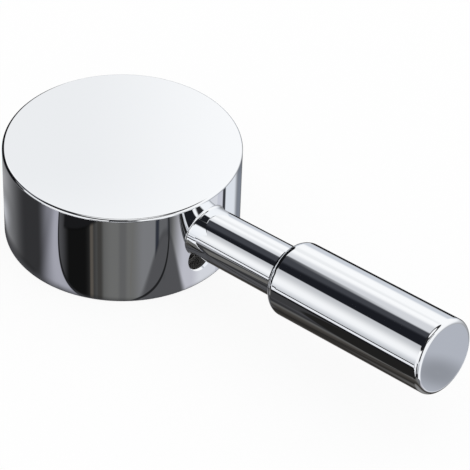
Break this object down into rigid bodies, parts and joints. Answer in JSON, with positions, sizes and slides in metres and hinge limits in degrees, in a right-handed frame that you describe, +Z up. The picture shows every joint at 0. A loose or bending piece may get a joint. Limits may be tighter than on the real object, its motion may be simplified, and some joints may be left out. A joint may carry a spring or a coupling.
{
  "type": "replacement tap handle",
  "caption": "Polished chrome handle for a single-lever tap: a low round hollow head with a slim stepped stick lever and a square stem socket underneath.",
  "frame": {"origin": "on the head's axis in the plane of its rim, at the mouth of the stem socket", "axes": "+Z up along the head's axis towards its closed top; +X along the lever; the lever rises a little towards its free end"},
  "size_m": [0.1046, 0.046, 0.0252],
  "materials": {
    "chrome_plate": "mirror-polished chrome plating",
    "screw_steel": "plain dark stainless steel"
  },
  "bodies": {
    "root": {"head": "chrome_plate", "lever": "chrome_plate", "stem_screw": "screw_steel"}
  },
  "joints": []
}
